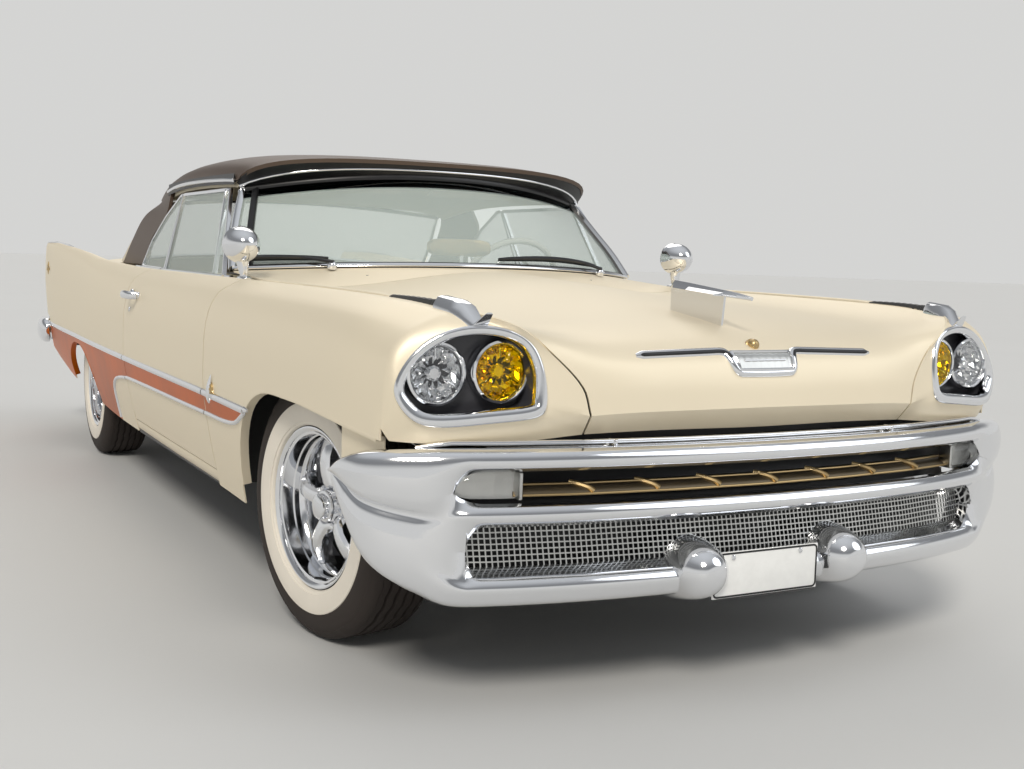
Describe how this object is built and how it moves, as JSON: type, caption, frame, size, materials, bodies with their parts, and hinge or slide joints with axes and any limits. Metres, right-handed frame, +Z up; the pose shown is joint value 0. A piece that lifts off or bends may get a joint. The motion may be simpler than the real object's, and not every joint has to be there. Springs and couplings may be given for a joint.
{
  "type": "classic car",
  "caption": "Large two-door hardtop of the late 1950s with tail fins, wraparound windows, bumper grille, opening doors, hood and trunk lid, and steered, rolling wheels.",
  "frame": {"origin": "on the ground under the middle of the car's box", "axes": "+Z up, the car faces -Y, +X is the car's own left (driver's side)"},
  "size_m": [2, 5.5338, 1.3876],
  "materials": {
    "ivory_paint": "gloss ivory",
    "bronze_paint": "dark bronze gloss",
    "dash_paint": "gloss ivory",
    "tinted_glass": "clear, lightly tinted",
    "chrome": "polished",
    "tyre_rubber": "black with a wide white sidewall band",
    "gold_anodised": "gold tinted",
    "lamp_housing": "dark bowl behind bright bezel",
    "red_lens": "red lens",
    "dark_steel": "black chassis paint",
    "cast_iron": "as cast, painted",
    "cream_upholstery": "cream and dark bench covers",
    "white_plastic": "white"
  },
  "bodies": {
    "body": {"front_fender_left": "ivory_paint", "front_fender_right": "ivory_paint", "quarter_panel_left": "ivory_paint", "quarter_panel_right": "ivory_paint", "roof": "bronze_paint", "cowl": "ivory_paint", "rear_deck": "ivory_paint", "tail_panel": "ivory_paint", "windshield": "tinted_glass", "rear_window": "tinted_glass", "quarter_glass_left": "tinted_glass", "quarter_glass_right": "tinted_glass", "lamp_pod_left": "lamp_housing", "lamp_pod_right": "lamp_housing", "tail_lamp_left": "red_lens", "tail_lamp_right": "red_lens", "front_bumper": "chrome", "rear_bumper": "chrome", "grille_mesh": "chrome", "grille_bar": "gold_anodised", "floor_pan": "dark_steel", "chassis_frame": "dark_steel", "engine_bay": "dark_steel", "engine_block": "cast_iron", "rear_axle": "cast_iron", "front_seat": "cream_upholstery", "rear_seat": "cream_upholstery", "dashboard": "dash_paint", "exhaust": "dark_steel", "fuel_tank": "dark_steel", "wheel_house_left": "dark_steel", "wheel_house_right": "dark_steel"},
    "steering": {"steering_wheel": "white_plastic"},
    "hood_lid": {"hood": "ivory_paint"},
    "boot_lid": {"trunk_lid": "ivory_paint"},
    "door_leaf_left": {"door_left": "ivory_paint", "door_glass_left": "tinted_glass", "mirror_left": "chrome"},
    "upright_left": {"knuckle_left": "cast_iron"},
    "road_wheel_front_left": {"wheel_front_left": "chrome", "tyre_front_left": "tyre_rubber"},
    "road_wheel_rear_left": {"wheel_rear_left": "chrome", "tyre_rear_left": "tyre_rubber"},
    "door_leaf_right": {"door_right": "ivory_paint", "door_glass_right": "tinted_glass", "mirror_right": "chrome"},
    "upright_right": {"knuckle_right": "cast_iron"},
    "road_wheel_front_right": {"wheel_front_right": "chrome", "tyre_front_right": "tyre_rubber"},
    "road_wheel_rear_right": {"wheel_rear_right": "chrome", "tyre_rear_right": "tyre_rubber"}
  },
  "joints": [
    {"name": "steer_left", "type": "hinge", "parent": "body", "child": "upright_left", "pos_m": [0.7, -1.871, 0.348], "axis": [0, 0, 1], "range_deg": [-39, 21]},
    {"name": "spin_front_left", "type": "hinge", "parent": "upright_left", "child": "road_wheel_front_left", "pos_m": [0.77358, -1.85935, 0.348], "axis": [0.9877, 0.1564, 0], "continuous": true},
    {"name": "spin_rear_left", "type": "hinge", "parent": "body", "child": "road_wheel_rear_left", "pos_m": [0.758, 1.329, 0.348], "axis": [1, 0, 0], "continuous": true},
    {"name": "door_left_hinge", "type": "hinge", "parent": "body", "child": "door_leaf_left", "pos_m": [0.978, -1.175, 0.6], "axis": [0, 0, -1], "range_deg": [0, 65]},
    {"name": "steer_right", "type": "hinge", "parent": "body", "child": "upright_right", "pos_m": [-0.7, -1.871, 0.348], "axis": [0, 0, 1], "range_deg": [-39, 21]},
    {"name": "spin_front_right", "type": "hinge", "parent": "upright_right", "child": "road_wheel_front_right", "pos_m": [-0.77358, -1.88265, 0.348], "axis": [0.9877, 0.1564, 0], "continuous": true},
    {"name": "spin_rear_right", "type": "hinge", "parent": "body", "child": "road_wheel_rear_right", "pos_m": [-0.758, 1.329, 0.348], "axis": [1, 0, 0], "continuous": true},
    {"name": "door_right_hinge", "type": "hinge", "parent": "body", "child": "door_leaf_right", "pos_m": [-0.978, -1.175, 0.6], "axis": [0, 0, 1], "range_deg": [0, 65]},
    {"name": "hood_hinge", "type": "hinge", "parent": "body", "child": "hood_lid", "pos_m": [0, -1.225, 0.972], "axis": [-1, 0, 0], "range_deg": [0, 50]},
    {"name": "boot_hinge", "type": "hinge", "parent": "body", "child": "boot_lid", "pos_m": [0, 1.607, 0.974], "axis": [1, 0, 0], "range_deg": [0, 65]},
    {"name": "steering_column", "type": "hinge", "parent": "body", "child": "steering", "pos_m": [0.385, -0.6, 0.9], "axis": [0, 0.8829, 0.4695], "range_deg": [-470, 255]}
  ],
  "couplings": [
    {"joint": "steer_right", "follows": "steer_left", "ratio": 1},
    {"joint": "steering_column", "follows": "steer_left", "ratio": 12}
  ]
}
